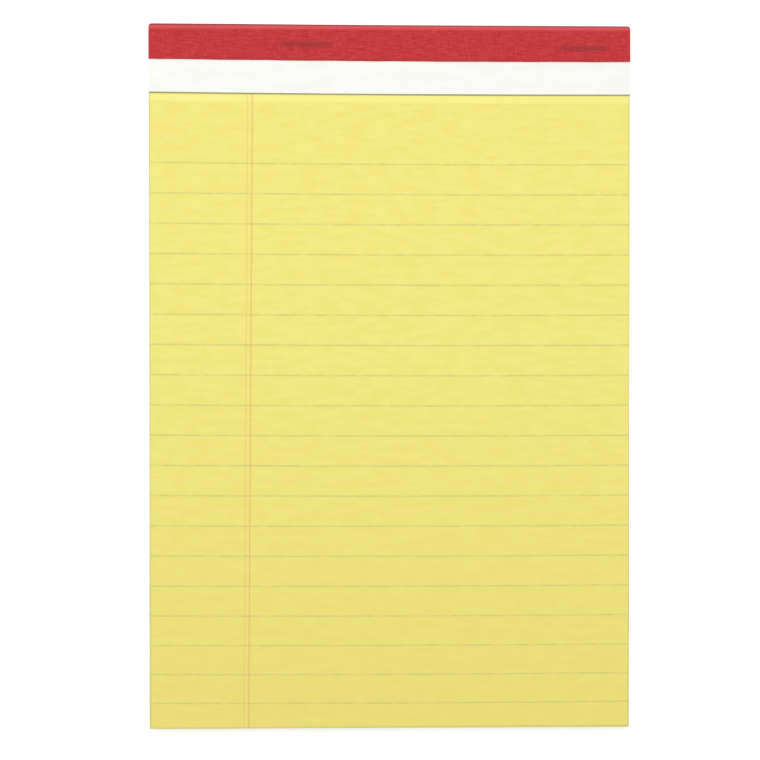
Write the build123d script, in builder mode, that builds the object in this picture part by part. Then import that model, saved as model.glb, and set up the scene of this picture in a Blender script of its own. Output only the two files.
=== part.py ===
from build123d import *
import math
import os

# A stapled legal pad lying on its back, in millimetres. X runs across the sheets, +Y points to
# the bound head, +Z is up out of the top sheet. The origin is under the middle of the pad, on
# the surface that it lies on.

# ---- Driving dimensions ----

# Overall
sheet_width = 127.0  # five inches
pad_length = 186.0  # foot edge of the sheets to the outside of the tape on the spine

# Layers, from the back up
board_thickness = 0.76  # 30 point chipboard
sheet_count = 50
sheet_thickness = 0.095
strip_thickness = 0.25
tape_thickness = 0.20

# How the pile of sheets lies
swell = 0.9  # how much fuller the loose middle is than the clamped head
swell_run = 50.0  # from the strip to where the pile is at its fullest
foot_fall = 0.8  # from the fullest part down to the foot edge, where the sheets curl down
foot_run = 55.0  # how far up from the foot the fall begins

# Head
strip_depth = 18.2  # outside of the spine to the lower edge of the strip
tape_front = 9.6  # outside of the spine to the edge of the front flap
tape_back = 12.5  # outside of the spine to the edge of the back flap
tape_bite = 0.05  # how far the tape is pressed into the back of the board
shoulder_radius = 0.7  # rounding of the pile along the two edges of the spine
corner_radius = 0.9  # rounding of the two head corners, seen from above
fold_slack = 0.1  # how much sharper the tape is creased than the edge under it

# Perforation
perforation_gap = 2.6  # lower edge of the strip to the line of slits
slit_length = 0.8
slit_pitch = 1.6
slit_width = 0.12

# Staples
wire_diameter = 0.5
crown_width = 12.7  # over the outside of the legs
bend_radius = 0.5  # of the middle of the wire
clinch_length = 4.2  # of each leg that is folded in under the board
crown_bite = 0.15  # how deep the crown is pressed into the strip
clinch_cover = 0.05  # how far the folded legs lie above the face of the board
staple_clearance = 0.02  # all round the wire
ridge_flank = 0.8  # how far the tape's ridge spreads past the wire
staple_places = {  # inset from the side that it is nearer to, and depth from the spine
    "staple_left": (-1, 41.1, 5.3),
    "staple_right": (1, 12.7, 6.1),
}

# ---- Levels and lines that follow ----

foot_y = -pad_length / 2
spine_y = pad_length / 2
head_y = spine_y - tape_thickness
strip_y = spine_y - strip_depth

pinched_base = tape_thickness
board_base = tape_thickness - tape_bite
board_top = board_base + board_thickness
pages_top = board_top + sheet_count * sheet_thickness
strip_top = pages_top + strip_thickness
tape_top = strip_top + tape_thickness

wire_radius = wire_diameter / 2
crown_level = strip_top - crown_bite + wire_radius
clinch_level = pinched_base + clinch_cover + wire_radius


def rounded_head(corner, end_y):
    """A tall block over the whole pad, ending at end_y, with its two head corners rounded."""
    with BuildPart() as block:
        with BuildSketch(Plane.XY) as plan:
            with Locations((0, (foot_y + end_y) / 2)):
                Rectangle(sheet_width, end_y - foot_y)
            fillet(plan.vertices().group_by(Axis.Y)[-1], corner)
        extrude(amount=2 * tape_top)
    return block.part


def pile(shoulder, corner):
    """Everything that the tape holds, as one block: board, pages and strip. Its top swells past
    the clamped head, and falls ever more steeply to the foot."""
    with BuildPart() as block:
        with BuildSketch(Plane.YZ) as side:
            with BuildLine():
                base = Line((head_y, pinched_base), (foot_y, pinched_base))
                foot = Line(base @ 1, (foot_y, pages_top + swell - foot_fall))
                slope = Spline(
                    foot @ 1,
                    (foot_y + foot_run, pages_top + swell),
                    tangents=[(foot_run, 2 * foot_fall), (1, 0)],
                )
                crest = Line(slope @ 1, (strip_y - swell_run, pages_top + swell))
                rise = Spline(
                    crest @ 1,
                    (strip_y - perforation_gap, pages_top),
                    tangents=[(1, 0), (1, 0)],
                )
                ledge = Line(rise @ 1, (strip_y, pages_top))
                step = Line(ledge @ 1, (strip_y, strip_top))
                strip_face = Line(step @ 1, (head_y, strip_top))
                Line(strip_face @ 1, base @ 0)
            make_face()
            fillet(side.vertices().group_by(Axis.X)[-1], shoulder)
        extrude(amount=sheet_width / 2, both=True)
        add(rounded_head(corner, head_y), mode=Mode.INTERSECT)
    return block.part


def staple_x(side, inset):
    return side * (sheet_width / 2 - inset)


def bent_wire(x, depth, radius):
    """A round bar of this radius along the middle line of a closed staple."""
    half_span = crown_width / 2 - wire_radius
    tip = half_span - clinch_length
    with BuildPart() as bar:
        with BuildLine(Plane.XZ.offset(depth - spine_y)) as path:
            FilletPolyline(
                (x - tip, clinch_level),
                (x - half_span, clinch_level),
                (x - half_span, crown_level),
                (x + half_span, crown_level),
                (x + half_span, clinch_level),
                (x + tip, clinch_level),
                radius=bend_radius,
            )
        with BuildSketch(Plane(path.line @ 0, z_dir=path.line % 0)):
            Circle(radius)
        sweep()
    return bar.part


def staple_room(x, depth):
    """The space that a staple takes up: its wire with clearance, and the grooves that its legs
    were folded into, open at the back of the board."""
    half_span = crown_width / 2 - wire_radius
    room_radius = wire_radius + staple_clearance
    with BuildPart() as room:
        add(bent_wire(x, depth, room_radius))
        for end in (-1, 1):
            middle = x + end * (half_span - clinch_length / 2)
            with BuildSketch(Plane.XY.offset(pinched_base)):
                with Locations((middle, spine_y - depth)):
                    SlotOverall(clinch_length + 2 * room_radius, 2 * room_radius)
            extrude(amount=clinch_level - pinched_base)
    return room.part


places = {
    name: (staple_x(side, inset), depth)
    for name, (side, inset, depth) in staple_places.items()
}
pile_block = pile(shoulder_radius, corner_radius)
rooms = [staple_room(x, depth) for x, depth in places.values()]

# ---- Backing board: chipboard, at its full thickness only where the tape doesn't pinch it ----

with BuildPart() as backing_board:
    add(pile_block)
    split(bisect_by=Plane.XY.offset(board_top), keep=Keep.BOTTOM)
    with BuildSketch(Plane.XY.offset(board_base)):
        with Locations((0, foot_y + (pad_length - tape_back) / 2)):
            Rectangle(sheet_width, pad_length - tape_back)
    extrude(amount=tape_bite)
    add(rooms, mode=Mode.SUBTRACT)

# ---- Pages: one block of sheets, with the perforation slit through all of them ----

with BuildPart() as pages:
    add(pile_block)
    split(bisect_by=Plane.XY.offset(board_top), keep=Keep.TOP)
    with BuildSketch(Plane.XY.offset(pages_top)):
        with Locations((0, spine_y - strip_depth / 2)):
            Rectangle(sheet_width, strip_depth)
    extrude(amount=strip_thickness, mode=Mode.SUBTRACT)
    slit_count = math.floor((sheet_width - slit_length) / slit_pitch)
    with BuildSketch(Plane.XY.offset(board_top)):
        with Locations((0, strip_y - perforation_gap)):
            with GridLocations(slit_pitch, 0, slit_count, 1):
                Rectangle(slit_length, slit_width)
    extrude(amount=tape_top, mode=Mode.SUBTRACT)
    add(rooms, mode=Mode.SUBTRACT)

# ---- Label strip: bare card over the head of the top sheet ----

with BuildPart() as label_strip:
    add(pile_block)
    split(bisect_by=Plane.XY.offset(pages_top), keep=Keep.TOP)
    split(bisect_by=Plane.ZX.offset(strip_y), keep=Keep.TOP)
    add(rooms, mode=Mode.SUBTRACT)

# ---- Binding tape: one strip folded over the head, raised over each staple's crown ----

with BuildPart() as binding_tape:
    with BuildSketch(Plane.YZ) as wrap:
        with BuildLine():
            Polyline(
                (spine_y - tape_back, 0),
                (spine_y, 0),
                (spine_y, tape_top),
                (spine_y - tape_front, tape_top),
                (spine_y - tape_front, board_top),
                (spine_y - tape_back, board_top),
                close=True,
            )
        make_face()
        fillet(wrap.vertices().group_by(Axis.X)[-1], shoulder_radius + tape_thickness)
    extrude(amount=sheet_width / 2, both=True)
    add(rounded_head(corner_radius, spine_y), mode=Mode.INTERSECT)
    ridge_rise = wire_diameter - crown_bite + staple_clearance
    for x, depth in places.values():
        with BuildSketch(Plane.XY.offset(tape_top)):
            with Locations((x, spine_y - depth)):
                SlotOverall(crown_width + 2 * ridge_flank, wire_diameter + 2 * ridge_flank)
        extrude(amount=ridge_rise, taper=math.degrees(math.atan2(ridge_flank, ridge_rise)))
    add(pile(shoulder_radius - fold_slack, corner_radius - fold_slack), mode=Mode.SUBTRACT)
    add(rooms, mode=Mode.SUBTRACT)

# ---- Staples ----

staples = {}
for name, (x, depth) in places.items():
    with BuildPart() as staple:
        add(bent_wire(x, depth, wire_radius))
    staples[name] = staple

# ---- Labels and files ----

os.makedirs("parts", exist_ok=True)
pieces = {
    "backing_board": backing_board,
    "pages": pages,
    "label_strip": label_strip,
    "binding_tape": binding_tape,
    **staples,
}
for name, piece in pieces.items():
    piece.part.label = name
    export_step(piece.part, f"parts/{name}.step")
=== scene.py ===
import math
import random

import bpy
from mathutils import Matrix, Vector


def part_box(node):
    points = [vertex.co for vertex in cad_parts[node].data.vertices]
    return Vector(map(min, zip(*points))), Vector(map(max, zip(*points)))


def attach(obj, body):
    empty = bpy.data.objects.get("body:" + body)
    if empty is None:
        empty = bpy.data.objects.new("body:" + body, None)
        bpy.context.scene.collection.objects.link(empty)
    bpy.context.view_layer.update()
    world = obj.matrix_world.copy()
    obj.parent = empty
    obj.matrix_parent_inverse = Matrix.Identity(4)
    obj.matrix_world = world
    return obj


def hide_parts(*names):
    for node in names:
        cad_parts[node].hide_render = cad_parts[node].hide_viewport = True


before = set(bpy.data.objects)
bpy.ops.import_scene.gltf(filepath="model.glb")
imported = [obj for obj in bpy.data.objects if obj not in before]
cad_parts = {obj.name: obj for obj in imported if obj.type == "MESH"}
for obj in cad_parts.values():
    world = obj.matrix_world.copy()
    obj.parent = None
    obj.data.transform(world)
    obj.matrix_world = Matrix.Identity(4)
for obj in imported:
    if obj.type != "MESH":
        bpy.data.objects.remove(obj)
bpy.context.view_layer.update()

# A stapled legal pad on its back: fifty ruled sheets on a chipboard, a bare card strip across the
# head, and a red cloth tape folded over it. Metres, +Y towards the bound head, +Z out of the top
# sheet. MM turns the sizes, which are written in millimetres, to metres.

MM = 0.001
rng = random.Random(50)

# ---- Sizes, in millimetres ----

sheet_count = 50
paper_thickness = 0.086  # a little under its share of the pile, so that each edge shows
card_thickness = 0.25
tape_thickness = 0.20
shoulder = 0.7  # rounding of the pile along the spine, under the tape
corner = 0.9  # rounding of the head corners, seen from above

rule_pitch = 7.96
first_rule = 36.72  # below the outside of the spine
last_rule = 183.5
rule_width = 0.26
margin_left = 26.1  # in from the left edge at the head
margin_gap = 1.25  # between the two margin lines
margin_slant = 0.0073  # the ruling runs a little askew to the trimmed edge
curl_start = 148.0  # where the sheets begin to curl down at the foot
curl_rate = 0.00075

lean_middle = -0.13  # how the head's strip and tape lie askew: at mid width,
lean_tilt = 0.14  # from there to the right edge,
lean_bow = 0.24  # and to both edges
spine_sag = 0.14  # the tape is pulled in a little along its right half

perforation_gap = 2.6  # from the strip's lower edge to the row of slits
slit_pitch = 1.6
slit_length = 0.8  # half the pitch, so that slits and stubs fill the columns of a grid in turn
slit_width = 0.08

tape_front = 9.6  # from the outside of the spine to the edge of the front flap
ridge_rise = 0.36  # how far a staple's crown lifts the tape
ridge_flank = 0.9  # how far that ridge spreads past the wire
hair = 0.01  # reach of a test on a place

# ---- How the loose sheets and the laid pieces stray, in millimetres ----

# Each wave has a height, a run along x and along y, and a start in radians. A run is the length in
# which the wave turns by one radian, and it is endless where the wave doesn't change.
endless = math.inf
ripple_height = 0.035
ripple_waves = (  # their heights are shares of ripple_height
    (1.0, 21.0, 47.0, 0.0),
    (1.0, 34.0, -29.0, 1.3),
    (0.6, endless, 11.0, 0.0),
)
ripple_sink = 0.04  # how far the rippled sheets lie under the level of the pile
ripple_run = 40.0  # from the slits to where the ripples are full
lean_start, lean_full = 60.0, 72.0  # along y, where the top sheet takes up the head's lean
waist_depth = 0.15  # the trimmed sides draw in by this at mid length
foot_skew = 0.18  # the foot edge is out of square by this, up and down
sheet_fan = 0.30  # sheets fan out to the sides at the foot by this, in slow turns,
fan_jitter = 0.09  # and each by this much on its own
fan_turn = 0.9  # radians from one sheet to the next
fan_calm = 0.4  # share of the fan that is lost from the board to the top
slip_back, slip_out = -0.10, 0.12  # how far a sheet may lie short of the foot edge or past it
strip_lift = 0.10  # the strip's free edge stands off the top sheet
strip_waves = ((0.04, 17.0, endless, 0.0),)
strip_free_run = 7.0
strip_still = 2.0  # the strip no longer leans this near the head
fray_run = 6.0  # from the tape's front edge to where it lies straight
fray_waves = ((0.02, 3.1, endless, 0.0), (0.012, 1.3, endless, 1.0))
slack_run = 2.0  # from the fold to where the front flap is slack
slack_lift = 0.02
slack_waves = ((0.025, 6.0, 2.3, 0.0), (0.02, 2.7, -1.0, 0.0))


def box_in_mm(name):
    """A CAD node's lowest and highest corners."""
    return tuple(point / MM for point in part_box(name))


# ---- Levels and lines that follow from the frame ----

pages_low, pages_high = box_in_mm("pages")
strip_low, strip_high = box_in_mm("label_strip")
tape_low, tape_high = box_in_mm("binding_tape")
board_top = box_in_mm("backing_board")[1].z
staple_boxes = [box_in_mm(name) for name in ("staple_left", "staple_right")]

half_width = pages_high.x
foot_y = pages_low.y
spine_y = tape_high.y
head_y = spine_y - tape_thickness
strip_y = strip_low.y
strip_depth = spine_y - strip_y
strip_top = strip_high.z
pages_top = strip_top - card_thickness
tape_top = strip_top + tape_thickness
tape_front_y = spine_y - tape_front
slits_depth = strip_depth + perforation_gap
slits_y = spine_y - slits_depth
fold_radius = shoulder + tape_thickness
fold_y = spine_y - fold_radius


# ---- Modelling helpers ----


def deselect():
    bpy.ops.object.select_all(action="DESELECT")


def take(piece):
    """Make this piece the only selected and active one."""
    deselect()
    piece.select_set(True)
    bpy.context.view_layer.objects.active = piece


def select_parts(piece, vertices=None, edges=None, faces=None):
    """Select a mesh's vertices, edges or faces by a test on their place, in millimetres. An edge is
    selected when both of its ends pass."""
    mesh = piece.data
    for part in (*mesh.vertices, *mesh.edges, *mesh.polygons):
        part.select = False
    place = [vertex.co / MM for vertex in mesh.vertices]
    if vertices:
        for vertex in mesh.vertices:
            vertex.select = vertices(place[vertex.index])
    if edges:
        for edge in mesh.edges:
            one, other = (place[index] for index in edge.vertices)
            edge.select = edges(one) and edges(other)
    if faces:
        for face in mesh.polygons:
            face.select = faces(face.center / MM)


def edit(piece, mode, *steps):
    """Run edit-mode steps on the piece. The selection mode is set first, because entering edit
    mode keeps only what is selected in that mode."""
    take(piece)
    kinds = ("VERT", "EDGE", "FACE")
    bpy.context.tool_settings.mesh_select_mode = [kind == mode for kind in kinds]
    bpy.ops.object.mode_set(mode="EDIT")
    for operator, settings in steps:
        operator(**settings)
    bpy.ops.object.mode_set(mode="OBJECT")


def grid(name, low, high, height, columns, rows):
    """A flat primitive grid between two corners, at a height, all in millimetres."""
    deselect()
    bpy.ops.mesh.primitive_grid_add(x_subdivisions=columns, y_subdivisions=rows, size=2)
    piece = bpy.context.object
    piece.name = name
    piece.scale = ((high[0] - low[0]) / 2 * MM, (high[1] - low[1]) / 2 * MM, 1)
    piece.location = ((high[0] + low[0]) / 2 * MM, (high[1] + low[1]) / 2 * MM, height * MM)
    bpy.ops.object.transform_apply(location=True, rotation=True, scale=True)
    return piece


def cut_across(piece, axis, place):
    """Cut the whole mesh by a plane square to an axis, so that there is an edge at that place."""
    select_parts(piece, faces=lambda middle: True)
    normal = [0, 0, 0]
    normal[axis] = 1
    point = [0, 0, 0]
    point[axis] = place * MM
    edit(piece, "FACE", (bpy.ops.mesh.bisect, {"plane_co": point, "plane_no": normal}))


def reshape(piece, move):
    """Move each vertex by a function of its place, in millimetres."""
    for vertex in piece.data.vertices:
        vertex.co = move(vertex.co / MM) * MM


def thicken(piece, thickness, offset):
    """Give a sheet its thickness: on both sides at offset 0, behind its face at offset -1."""
    take(piece)
    modifier = piece.modifiers.new("thickness", "SOLIDIFY")
    modifier.thickness = thickness * MM
    modifier.offset = offset
    bpy.ops.object.modifier_apply(modifier=modifier.name)


def smooth(piece, angle=35):
    """Shade smooth, except across edges sharper than the angle in degrees."""
    take(piece)
    bpy.ops.object.shade_smooth_by_angle(angle=math.radians(angle))


def blend_in(value, low, high):
    """0 below low, 1 above high, and an even curve between."""
    share = min(1.0, max(0.0, (value - low) / (high - low)))
    return share * share * (3 - 2 * share)


# ---- How the pad lies ----

pages_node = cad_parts["pages"]
sounding_step = 1.0
sounding_x = 0.0001  # just beside the middle, where no slit is
clear_of_slits = 0.2


def sound(y):
    """Height of the pages over the middle of the pad, felt for from above. The head is level from
    the slits on."""
    reach = min(max(y, foot_y + hair), head_y - shoulder - hair)
    if reach > slits_y - clear_of_slits:
        return pages_top
    found, place, _, _ = pages_node.ray_cast((sounding_x * MM, reach * MM, 1), (0, 0, -1))
    return place.z / MM if found else pages_top


soundings = [sound(foot_y + i * sounding_step) for i in range(int(spine_y - foot_y) + 2)]
last_place = len(soundings) - 1.001  # just short of the last sounding, so that one comes after it


def pile_top(y):
    """Height of the pages at any place along the pad, between two soundings."""
    place = min(max((y - foot_y) / sounding_step, 0), last_place)
    before = int(place)
    return soundings[before] + (soundings[before + 1] - soundings[before]) * (place - before)


def wave_sum(x, y, waves):
    """The waves added up at a place."""
    total = 0.0
    for height, run_x, run_y, start in waves:
        total += height * math.sin(x / run_x + y / run_y + start)
    return total


def ripple(x, y):
    """The loose sheets lie in faint waves, which die out where the staples clamp them."""
    loose = blend_in(slits_y - y, 0, ripple_run)
    return ripple_height * loose * wave_sum(x, y, ripple_waves) - ripple_sink * loose


def head_lean(x):
    """Strip and tape were laid a little askew, and bowed, across the head."""
    across = x / half_width
    return lean_middle - lean_tilt * across + lean_bow * across * across


def outline(x, y):
    """The trimmed sides draw in a little at mid length."""
    along = (y - foot_y) / (head_y - foot_y)
    waist = -waist_depth * math.sin(math.pi * along)
    return x * (1 + waist / half_width)


# ---- Sheets ----

sheet_middle = 0.75  # where a sheet lies in its own share of the pile, from the share's lower side


def sheet_move(share, fan, slip):
    """How one flat sheet is laid into the pile. Share is its place from the board to the top."""

    def move(place):
        x, y, _ = place
        height = board_top + (pile_top(y) - board_top + ripple(x, y)) * share
        down = (head_y - y) / (head_y - foot_y)
        inner_top = strip_top - shoulder
        lift = min(max(height - inner_top, 0), shoulder)
        setback = shoulder - math.sqrt(shoulder**2 - lift**2)
        laid_y = min(y, head_y - setback)
        square = -foot_skew * x / half_width * down
        return Vector((outline(x, y) + fan * down, laid_y + (slip + square) * down, height))

    return move


def round_head(piece):
    """Bevel the two head corners of a flat sheet, seen from above."""
    select_parts(piece, vertices=lambda p: abs(p.x) > half_width - hair and p.y > head_y - hair)
    step = {"offset": corner * MM, "segments": 4, "affect": "VERTICES"}
    edit(piece, "VERT", (bpy.ops.mesh.bevel, step))


def make_pile():
    """One sheet, copied for all those under the top one, each with its own slip and fan."""
    columns, rows = 4, 40
    base = grid("sheet", (-half_width, foot_y), (half_width, head_y), 0, columns, rows)
    round_head(base)
    sheets = []
    for i in range(sheet_count - 1):
        sheet = base.copy()
        sheet.data = base.data.copy()
        bpy.context.collection.objects.link(sheet)
        sheet.name = f"sheet_{i:02d}"
        turn = math.sin(i * fan_turn) * (1 - fan_calm * i / sheet_count)
        fan = sheet_fan * turn + rng.uniform(-fan_jitter, fan_jitter)
        slip = rng.uniform(slip_back, slip_out)
        reshape(sheet, sheet_move((i + sheet_middle) / sheet_count, fan, slip))
        thicken(sheet, paper_thickness, 0)
        sheets.append(sheet)
    bpy.data.objects.remove(base)
    deselect()
    for sheet in sheets:
        sheet.select_set(True)
    bpy.context.view_layer.objects.active = sheets[0]
    bpy.ops.object.join()
    pile = bpy.context.object
    pile.name = "ruled_sheets"
    smooth(pile)
    return pile


def make_top_sheet():
    """The top sheet, fine enough for its ripples, with the perforation cut through it. Every other
    column of its grid holds a slit, and its two outer columns are widened to the trimmed edges."""
    columns, rows = 157, 62
    half_grid = columns * slit_length / 2
    low, high = (-half_grid, foot_y), (half_grid, head_y - shoulder)
    top = grid("top_sheet", low, high, 0, columns, rows)

    def widen(place):
        if abs(place.x) < half_grid - hair:
            return place
        return Vector((math.copysign(half_width, place.x), place.y, 0))

    reshape(top, widen)
    for edge in (slits_y - slit_width / 2, slits_y + slit_width / 2):
        cut_across(top, 1, edge)

    def is_slit(middle):
        in_row = abs(middle.y - slits_y) < slit_width / 2
        in_slit_column = slit_length / 2 < middle.x % slit_pitch < 1.5 * slit_length
        in_grid = abs(middle.x) < half_grid - slit_length
        return in_row and in_slit_column and in_grid

    select_parts(top, faces=is_slit)
    edit(top, "FACE", (bpy.ops.mesh.delete, {"type": "FACE"}))
    reshape(top, sheet_move((sheet_count - 1 + sheet_middle) / sheet_count, 0.0, 0.0))

    def lean(place):
        share = blend_in(place.y, lean_start, lean_full)
        return place + Vector((0, head_lean(place.x) * share, 0))

    reshape(top, lean)
    thicken(top, paper_thickness, 0)
    smooth(top)
    return top


# ---- Card strip ----


def make_strip():
    """The bare card strip. Its free edge stands off the sheet by a hair."""
    columns, rows = 64, 36
    low, high = (-half_width, strip_y), (half_width, head_y - shoulder)
    strip = grid("card_strip", low, high, strip_top, columns, rows)

    def move(place):
        x, y, height = place
        free = 1 - blend_in(y, strip_y, strip_y + strip_free_run)
        lift = free * (strip_lift + wave_sum(x, y, strip_waves))
        leaning = 1 - blend_in(y, strip_y, head_y - strip_still)
        return Vector((x, y + head_lean(x) * leaning, height + lift))

    reshape(strip, move)
    thicken(strip, card_thickness, -1)
    smooth(strip)
    return strip


# ---- Cloth tape ----


def ridge(x, y):
    """How far the tape is held up by the staples' crowns under it."""
    rise = 0.0
    for low, high in staple_boxes:
        past_x = max(low.x - x, x - high.x, 0)
        past_y = max(low.y - y, y - high.y, 0)
        rise = max(rise, 1 - blend_in(math.hypot(past_x, past_y), 0, ridge_flank))
    return ridge_rise * rise


def fold_tape(tape):
    """From the flat front flap: turn over the spine's upper edge, run down the spine, turn under
    its lower edge, and run back as the back flap."""
    extrude = bpy.ops.mesh.extrude_region_move
    quarter = {"steps": 6, "angle": math.radians(90), "axis": (1, 0, 0)}
    turn_over = {**quarter, "center": (0, fold_y * MM, (tape_top - fold_radius) * MM)}
    select_parts(tape, edges=lambda p: p.y > fold_y - hair)
    edit(tape, "EDGE", (bpy.ops.mesh.spin, turn_over))
    down = (0, 0, -(tape_top - 2 * fold_radius) * MM)
    select_parts(tape, edges=lambda p: p.z < tape_top - fold_radius + hair)
    edit(tape, "EDGE", (extrude, {"TRANSFORM_OT_translate": {"value": down}}))
    turn_under = {**quarter, "center": (0, fold_y * MM, fold_radius * MM)}
    select_parts(tape, edges=lambda p: p.z < fold_radius + hair)
    edit(tape, "EDGE", (bpy.ops.mesh.spin, turn_under))
    back = (0, (tape_low.y - fold_y) * MM, 0)
    select_parts(tape, edges=lambda p: p.z < hair)
    edit(tape, "EDGE", (extrude, {"TRANSFORM_OT_translate": {"value": back}}))
    edit(
        tape,
        "VERT",
        (bpy.ops.mesh.select_all, {"action": "SELECT"}),
        (bpy.ops.mesh.remove_doubles, {"threshold": hair * MM}),
        (bpy.ops.mesh.normals_make_consistent, {"inside": False}),
    )


def tape_move(place):
    """How the folded tape lies: its front edge askew and a little frayed, its spine pulled in, its
    corners rounded, and its front flap slack and raised over the staples."""
    x, y, height = place
    on_front = blend_in(height, tape_top - fold_radius, tape_top)
    near_edge = 1 - blend_in(y, tape_front_y, tape_front_y + fray_run)
    y += on_front * near_edge * (head_lean(x) + wave_sum(x, y, fray_waves))
    if y > fold_y - hair:
        y -= spine_sag * blend_in(x, -half_width, 0)
    past = max(abs(x) - (half_width - corner), 0)
    limit = spine_y - corner + math.sqrt(max(corner**2 - past**2, 0))
    slack = wave_sum(x, y, slack_waves) + slack_lift
    lift = ridge(x, y) + slack * blend_in(fold_y - y, 0, slack_run)
    return Vector((x, min(y, limit), height + on_front * lift))


def make_tape():
    """The tape as one strip: front flap, folded over the spine, and back flap. Extra cuts near its
    two ends leave it fine enough there for the rounded corners."""
    columns, rows = 254, 24
    low, high = (-half_width, tape_front_y), (half_width, fold_y)
    tape = grid("cloth_tape", low, high, tape_top, columns, rows)
    cuts = 5
    for i in range(1, cuts):
        inset = corner * (1 - math.sin(math.radians(90 * i / cuts)))
        for side in (-1, 1):
            cut_across(tape, 0, side * (half_width - inset))
    fold_tape(tape)
    reshape(tape, tape_move)
    raised = [face for face in tape.data.polygons if face.center.z > tape_top * MM]
    if sum(face.normal.z for face in raised) < 0:
        tape.data.flip_normals()
    thicken(tape, tape_thickness, -1)
    smooth(tape, 50)
    return tape


# ---- Materials ----

# A Map Range's inputs come in this order: the value, its low and its high end, and what each end
# becomes, which is 0 and 1 where it isn't given.
soft = {"interpolation_type": "SMOOTHSTEP"}  # a Map Range whose two ends are eased


def colour(hexadecimal):
    """An sRGB hex colour as linear RGBA."""
    parts = [int(hexadecimal[i : i + 2], 16) / 255 for i in (0, 2, 4)]
    linear = [p / 12.92 if p <= 0.04045 else ((p + 0.055) / 1.055) ** 2.4 for p in parts]
    return (*linear, 1.0)


def node(tree, kind, inputs=(), **settings):
    """Add a shader node, set its properties, and give its inputs, in order or by name, a value or
    a link. Returns its outputs."""
    made = tree.nodes.new("ShaderNode" + kind)
    for name, value in settings.items():
        setattr(made, name, value)
    for key, value in inputs.items() if isinstance(inputs, dict) else enumerate(inputs):
        if isinstance(value, bpy.types.NodeSocket):
            tree.links.new(value, made.inputs[key])
        else:
            made.inputs[key].default_value = value
    return made.outputs


def new_material(name):
    made = bpy.data.materials.new(name)
    made.use_nodes = True
    made.node_tree.nodes.clear()
    return made, made.node_tree


def place_in_mm(tree):
    """Object coordinates in millimetres, whole and as X, Y and Z."""
    where = node(tree, "TexCoord")["Object"]
    scaled = node(tree, "Mapping", {"Vector": where, "Scale": (1 / MM, 1 / MM, 1 / MM)})[0]
    parts = node(tree, "SeparateXYZ", (scaled,))
    return scaled, parts[0], parts[1], parts[2]


def blotches(tree, where, spacing, detail=2.0):
    """Noise whose blotches measure spacing (x, y, z), in millimetres."""
    scale = tuple(1 / size for size in spacing)
    stretched = node(tree, "Mapping", {"Vector": where, "Scale": scale})[0]
    return node(tree, "TexNoise", {"Vector": stretched, "Scale": 1.0, "Detail": detail})[0]


def away_from(tree, value, middle):
    """How far a value lies from a middle, on either side."""
    offset = node(tree, "Math", (value, middle), operation="SUBTRACT")[0]
    return node(tree, "Math", (offset,), operation="ABSOLUTE")[0]


def all_of(tree, first, *others):
    """Masks multiplied together."""
    for other in others:
        first = node(tree, "Math", (first, other), operation="MULTIPLY")[0]
    return first


def layered(tree, base, *layers):
    """Colours laid one over another, each by its own amount."""
    for amount, over in layers:
        base = node(tree, "MixRGB", (amount, base, colour(over)))[0]
    return base


def surface(tree, inputs, height, strength, relief):
    """The finished shader, with a bump from a height pattern, relief millimetres deep."""
    bump = node(tree, "Bump", {"Strength": strength, "Distance": relief * MM, "Height": height})
    shader = node(tree, "BsdfPrincipled", {**inputs, "Normal": bump[0]})
    node(tree, "OutputMaterial", {"Surface": shader[0]})


def depth_below_spine(tree, x, y):
    """How far a place on the top sheet lies below the spine, along the slightly askew print, which
    leans as the head does in head_lean."""
    across = node(tree, "Math", (x, half_width), operation="DIVIDE")[0]
    bow = all_of(tree, across, across, lean_bow)
    tilt = all_of(tree, across, lean_tilt)
    lean = node(tree, "Math", (bow, tilt), operation="SUBTRACT")[0]
    flat = node(tree, "Math", (spine_y + lean_middle, y), operation="SUBTRACT")[0]
    return node(tree, "Math", (flat, lean), operation="ADD")[0]


def rules(tree, where, depth):
    """The ruled lines: thin, feathered into the paper, and broken where the ink ran short."""
    past = node(tree, "Math", (depth, curl_start), operation="SUBTRACT")[0]
    past = node(tree, "Math", (past, 0.0), operation="MAXIMUM")[0]
    curl = all_of(tree, past, past, curl_rate)
    along = node(tree, "Math", (depth, curl), operation="ADD")[0]
    phase = node(tree, "Math", (along, first_rule), operation="SUBTRACT")[0]
    off_line = node(tree, "Math", (phase, rule_pitch / 2), operation="PINGPONG")[0]
    feathered = (off_line, 0.25 * rule_width, 1.4 * rule_width, 1.0, 0.0)
    line = node(tree, "MapRange", feathered, **soft)[0]
    start = first_rule - rule_pitch / 2
    below_start = node(tree, "Math", (along, start), operation="GREATER_THAN")[0]
    above_end = node(tree, "Math", (along, last_rule), operation="LESS_THAN")[0]
    ink = blotches(tree, where, (2.6, 0.8, 1.0), 3.0)
    unbroken = node(tree, "MapRange", (ink, 0.34, 0.62, 0.4, 1.0), **soft)[0]
    return all_of(tree, line, below_start, above_end, unbroken)


def margin(tree, where, x, depth, offset):
    """One of the two margin lines, from under the strip to the foot."""
    slant = all_of(tree, depth, margin_slant)
    middle = node(tree, "Math", (margin_left + offset - half_width, slant), operation="SUBTRACT")[0]
    line = node(tree, "MapRange", (away_from(tree, x, middle), 0.08, 0.30, 1.0, 0.0), **soft)[0]
    ink = blotches(tree, where, (0.5, 1.8, 1.0), 3.0)
    unbroken = node(tree, "MapRange", (ink, 0.28, 0.50, 0.55, 1.0), **soft)[0]
    return all_of(tree, line, unbroken)


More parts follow.
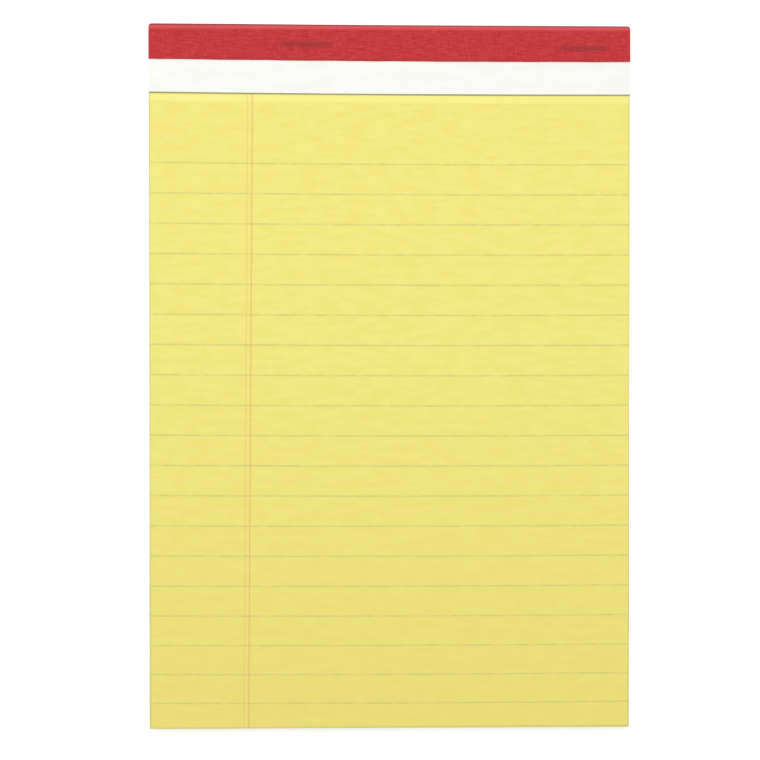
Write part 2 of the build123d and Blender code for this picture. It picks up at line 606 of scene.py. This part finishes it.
def ruled_paper():
    """Dyed bond paper, machine made and printed: matt, faintly cloudy, with the inks sunk into it.
    It is paler above the slits. Painted shade darkens it towards the foot, greys its cut rims and
    marks a faint line along the perforation, and a painted shadow line lies under the strip's edge.
    Its fibres are drawn coarser than real ones, so that they show."""
    made, tree = new_material("ruled_yellow_bond_paper")
    where, x, y, _ = place_in_mm(tree)
    cloud = blotches(tree, where, (6.0, 1.8, 3.0), 4.0)
    fibre = blotches(tree, where, (0.9, 0.5, 0.5), 3.0)
    depth = depth_below_spine(tree, x, y)
    cloudy = node(tree, "MapRange", (cloud, 0.35, 0.65), **soft)[0]
    fibrous = node(tree, "MapRange", (fibre, 0.3, 0.7, 0.0, 0.35), **soft)[0]
    stub = node(tree, "MapRange", (depth, slits_depth + 0.5, slits_depth - 1.0), **soft)[0]
    # painted shade: a faint darker line along the perforation's crease
    crease_shade = (away_from(tree, depth, slits_depth), 0.05, 0.3, 0.12, 0.0)
    crease_shade = node(tree, "MapRange", crease_shade, **soft)[0]
    # painted shadow: the dark line that the strip's lifted edge casts on the sheet
    strip_shadow = (away_from(tree, depth, strip_depth + 0.1), 0.15, 0.42, 0.72, 0.0)
    strip_shadow = node(tree, "MapRange", strip_shadow, **soft)[0]
    side = node(tree, "Math", (x,), operation="ABSOLUTE")[0]
    # painted shade: a greyer rim along the cut sides, where the edges fall away
    side_rim_shade = (side, half_width - 0.55, half_width - 0.15, 0.0, 0.6)
    side_rim_shade = node(tree, "MapRange", side_rim_shade, **soft)[0]
    # painted shade: the same greyer rim along the foot
    foot_rim_shade = node(tree, "MapRange", (y, foot_y + 0.2, foot_y + 0.7, 0.6, 0.0), **soft)[0]
    left = all_of(tree, margin(tree, where, x, depth, 0.0), 0.24)
    right = all_of(tree, margin(tree, where, x, depth, margin_gap), 0.46)
    # painted shade: the sheet darkens from mid length towards the foot
    foot_shade = node(tree, "MapRange", (y, 10.0, foot_y, 0.0, 0.55))[0]
    paper = layered(
        tree,
        colour("f1e57c"),
        (cloudy, "f5ea87"),
        (fibrous, "efe275"),
        (foot_shade, "e8d970"),
        (stub, "f8ef8e"),
        (all_of(tree, rules(tree, where, depth), 0.5), "b9b97e"),
        (left, "dca270"),
        (right, "d99c6e"),
        (side_rim_shade, "c9c283"),
        (foot_rim_shade, "c9c283"),
        (crease_shade, "d9cc6c"),
        (strip_shadow, "857c48"),
    )
    looks = {"Base Color": paper, "Roughness": 0.85, "Specular IOR Level": 0.25}
    surface(tree, looks, fibre, 0.10, 0.03)
    return made


def cut_edges():
    """The guillotined edge of a pile of sheets: each a fine stratum, greyer where dust settled."""
    made, tree = new_material("guillotined_paper_edge")
    where, _, _, _ = place_in_mm(tree)
    strata = blotches(tree, where, (40.0, 40.0, 0.16), 3.0)
    dust = blotches(tree, where, (9.0, 9.0, 2.0), 3.0)
    striped = node(tree, "MapRange", (strata, 0.35, 0.65), **soft)[0]
    dusty = node(tree, "MapRange", (dust, 0.45, 0.75, 0.0, 0.5), **soft)[0]
    edge = layered(tree, colour("e3da93"), (striped, "f6eea6"), (dusty, "d8cf98"))
    looks = {"Base Color": edge, "Roughness": 0.9, "Specular IOR Level": 0.2}
    surface(tree, looks, strata, 0.3, 0.05)
    return made


def clay_card():
    """White clay-coated card, calendered smooth: almost flat white, with a slight satin sheen and a
    greyer core at its cut edge."""
    made, tree = new_material("clay_coated_card")
    where, _, _, height = place_in_mm(tree)
    cloud = blotches(tree, where, (7.0, 3.0, 3.0), 3.0)
    cloudy = node(tree, "MapRange", (cloud, 0.35, 0.7), **soft)[0]
    core = node(tree, "MapRange", (height, strip_top - 0.12, strip_top - 0.02, 1.0, 0.0), **soft)[0]
    white = layered(tree, colour("f6f7f2"), (cloudy, "f3f3ed"), (core, "d8d8ce"))
    looks = {"Base Color": white, "Roughness": 0.55, "Specular IOR Level": 0.4}
    surface(tree, looks, cloud, 0.06, 0.03)
    return made


def staple_smudge(tree, x, y, low, high):
    """The crown's dark stain, pressed into the cloth over one staple."""
    middle = (low + high) / 2
    reach = (high.x - low.x) / 2
    off_x = away_from(tree, x, middle.x)
    off_y = away_from(tree, y, middle.y)
    along = node(tree, "MapRange", (off_x, reach - 1.5, reach + 1.0, 1.0, 0.0), **soft)[0]
    across = node(tree, "MapRange", (off_y, 0.1, 1.0, 1.0, 0.0), **soft)[0]
    return all_of(tree, along, across)


def woven_cloth():
    """Plain-woven cotton binding cloth, dyed and filled: its threads cross as fine streaks. Real
    threads are 0.3 mm apart. They are drawn a little coarser, so that they show. A painted
    highlight makes it paler along the fold, painted shade darkens its cut edge and the fold's
    crest, and it is stained dark over the staples."""
    made, tree = new_material("woven_binding_cloth")
    where, x, y, height = place_in_mm(tree)
    weft = blotches(tree, where, (3.0, 0.32, 1.2), 2.0)
    warp = blotches(tree, where, (0.34, 2.6, 0.6), 2.0)
    patch = blotches(tree, where, (2.4, 1.1, 1.2), 3.0)
    fleck = blotches(tree, where, (0.6, 0.45, 0.5), 1.0)
    weft_light = node(tree, "MapRange", (weft, 0.32, 0.68), **soft)[0]
    warp_dark = node(tree, "MapRange", (warp, 0.40, 0.66, 0.0, 0.55), **soft)[0]
    patch_light = node(tree, "MapRange", (patch, 0.4, 0.7, 0.0, 0.4), **soft)[0]
    fleck_dark = node(tree, "MapRange", (fleck, 0.62, 0.76, 0.0, 0.7), **soft)[0]
    # painted highlight: a paler band along the fold, where the rounded shoulder faces the light
    fold = node(tree, "MapRange", (y, spine_y - 1.9, spine_y - 0.9, 0.0, 0.8), **soft)[0]
    # painted shade: darker where the fold's crest turns away from the light
    crest_shade = node(tree, "MapRange", (y, spine_y - 0.75, spine_y - 0.35), **soft)[0]
    fold_base = tape_top - fold_radius
    on_fold = node(tree, "MapRange", (height, fold_base - 0.6, fold_base, 0.15, 1.0), **soft)[0]
    crest_shade = all_of(tree, crest_shade, on_fold)
    # painted shade: darker along the front flap's cut edge, which faces away from the light
    cut = (y, tape_front_y + 0.1, tape_front_y + 0.45, 0.5, 0.0)
    cut = node(tree, "MapRange", cut, **soft)[0]
    cloth = layered(
        tree,
        colour("b92b2f"),
        (weft_light, "d03f43"),
        (warp_dark, "b0292d"),
        (patch_light, "c9383c"),
        (fleck_dark, "92242a"),
        (fold, "e0585a"),
        (cut, "a03035"),
        (crest_shade, "8c4046"),
    )
    worn = node(tree, "MapRange", (fleck, 0.25, 0.6, 0.95, 0.6), **soft)[0]
    for low, high in staple_boxes:
        stain = all_of(tree, staple_smudge(tree, x, y, low, high), worn)
        cloth = layered(tree, cloth, (stain, "8c3236"))
    threads = node(tree, "Math", (weft, warp), operation="ADD")[0]
    looks = {"Base Color": cloth, "Roughness": 0.75, "Specular IOR Level": 0.2}
    sheen = {"Sheen Weight": 0.04, "Sheen Roughness": 0.5}
    surface(tree, {**looks, **sheen}, threads, 0.35, 0.06)
    return made


def chipboard():
    """Grey chipboard, pressed from mixed waste pulp: brown-grey with stray fibres and specks, and
    layered at its cut edge."""
    made, tree = new_material("pressed_chipboard")
    where, _, _, _ = place_in_mm(tree)
    pulp = blotches(tree, where, (3.0, 1.6, 0.5), 5.0)
    fibre = blotches(tree, where, (2.4, 0.25, 0.2), 2.0)
    speck = blotches(tree, where, (0.5, 0.45, 0.4), 1.0)
    layers = blotches(tree, where, (30.0, 30.0, 0.14), 2.0)
    pulpy = node(tree, "MapRange", (pulp, 0.3, 0.7), **soft)[0]
    fibrous = node(tree, "MapRange", (fibre, 0.55, 0.75, 0.0, 0.6), **soft)[0]
    specked = node(tree, "MapRange", (speck, 0.68, 0.76, 0.0, 0.8), **soft)[0]
    plies = node(tree, "MapRange", (layers, 0.5, 0.7, 0.0, 0.25), **soft)[0]
    board = layered(
        tree,
        colour("a0937c"),
        (pulpy, "b5a88f"),
        (fibrous, "c8bda6"),
        (specked, "6f6658"),
        (plies, "8d816c"),
    )
    looks = {"Base Color": board, "Roughness": 0.92, "Specular IOR Level": 0.2}
    surface(tree, looks, fibre, 0.25, 0.05)
    return made


def galvanised_wire():
    """Drawn steel wire, zinc plated: dull bright metal with fine drawing marks."""
    made, tree = new_material("galvanised_steel_wire")
    where, _, _, _ = place_in_mm(tree)
    marks = blotches(tree, where, (2.0, 0.08, 0.08), 2.0)
    drawn = node(tree, "MapRange", (marks, 0.35, 0.65), **soft)[0]
    metal = layered(tree, colour("a9acae"), (drawn, "c2c5c6"))
    surface(tree, {"Base Color": metal, "Roughness": 0.38, "Metallic": 1.0}, marks, 0.1, 0.01)
    return made


# ---- Pieces ----


def give(piece, material):
    piece.data.materials.clear()
    piece.data.materials.append(material)


def add_piece(piece, material, cad_node):
    """Finish a modelled piece: its material, its body, and the CAD node that it stands for."""
    give(piece, material)
    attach(piece, "root")
    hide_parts(cad_node)


def dress_cad_node(name, material):
    """Give a CAD node that stays as it is a better material."""
    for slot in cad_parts[name].material_slots:
        slot.material = material


add_piece(make_pile(), cut_edges(), "pages")
add_piece(make_top_sheet(), ruled_paper(), "pages")
add_piece(make_strip(), clay_card(), "label_strip")
add_piece(make_tape(), woven_cloth(), "binding_tape")
dress_cad_node("backing_board", chipboard())
wire = galvanised_wire()
for name in ("staple_left", "staple_right"):
    dress_cad_node(name, wire)


# ---- Floor, light and camera ----

ambient = 0.62  # the share of the light that comes from all round
key_watts = 6.2
key_place = (-0.1, 0.45, 1.1)  # metres
key_size = (0.7, 0.5)  # metres
floor_size = 6.0  # metres
floor_white = (0.8, 0.8, 0.8, 1.0)
floor_glow = 0.5
pure_white = (1.0, 1.0, 1.0, 1.0)
lens_length, sensor_width = 100, 36  # millimetres
nearest_seen = 0.01  # metres
camera_place = (-24.198, 11.691, 563.154)  # millimetres
camera_turn = (-1.273, -2.205, -0.010)  # degrees


def seen_in_view(tree):
    """1 for what the camera sees, straight or in a reflection or through glass, and 0 for light."""
    rays = node(tree, "LightPath")
    mirrored = (rays["Is Glossy Ray"], rays["Is Transmission Ray"])
    mirrored = node(tree, "Math", mirrored, operation="MAXIMUM")[0]
    return node(tree, "Math", (rays["Is Camera Ray"], mirrored), operation="MAXIMUM")[0]


def pale_floor():
    """White sweep. It is seen as white, and still takes the pad's shadow."""
    made, tree = new_material("white_floor")
    glow = all_of(tree, seen_in_view(tree), floor_glow)
    matt = node(tree, "BsdfDiffuse", {"Color": floor_white})[0]
    lit = node(tree, "Emission", {"Color": pure_white, "Strength": glow})[0]
    both = node(tree, "AddShader", (matt, lit))[0]
    node(tree, "OutputMaterial", {"Surface": both})
    return made


def make_floor():
    deselect()
    bpy.ops.mesh.primitive_plane_add(size=floor_size)
    floor = bpy.context.object
    floor.name = "floor"
    give(floor, pale_floor())


def make_world():
    """Even white light from all round, and white where the camera sees past the floor."""
    world = bpy.data.worlds.new("studio")
    bpy.context.scene.world = world
    world.use_nodes = True
    tree = world.node_tree
    tree.nodes.clear()
    strength = node(tree, "MapRange", (seen_in_view(tree), 0.0, 1.0, ambient, 1.0))[0]
    glow = node(tree, "Background", {"Color": pure_white, "Strength": strength})[0]
    node(tree, "OutputWorld", {"Surface": glow})


def make_key():
    """A soft box above the head end, so that the light falls off a little to the foot."""
    data = bpy.data.lights.new("key", "AREA")
    data.shape = "RECTANGLE"
    data.size, data.size_y = key_size
    data.energy = key_watts
    lamp = bpy.data.objects.new("key", data)
    bpy.context.collection.objects.link(lamp)
    lamp.location = key_place
    aim = Vector((0, 0, 0)) - lamp.location
    lamp.rotation_euler = aim.to_track_quat("-Z", "Y").to_euler()


def make_camera():
    """A long lens, looking straight down on the pad but for a degree or two."""
    data = bpy.data.cameras.new("camera")
    data.lens = lens_length
    data.sensor_width = sensor_width
    data.clip_start = nearest_seen
    camera = bpy.data.objects.new("camera", data)
    bpy.context.collection.objects.link(camera)
    camera.location = Vector(camera_place) * MM
    camera.rotation_euler = [math.radians(angle) for angle in camera_turn]
    bpy.context.scene.camera = camera


make_floor()
make_world()
make_key()
make_camera()
bpy.context.scene.view_settings.view_transform = "Standard"
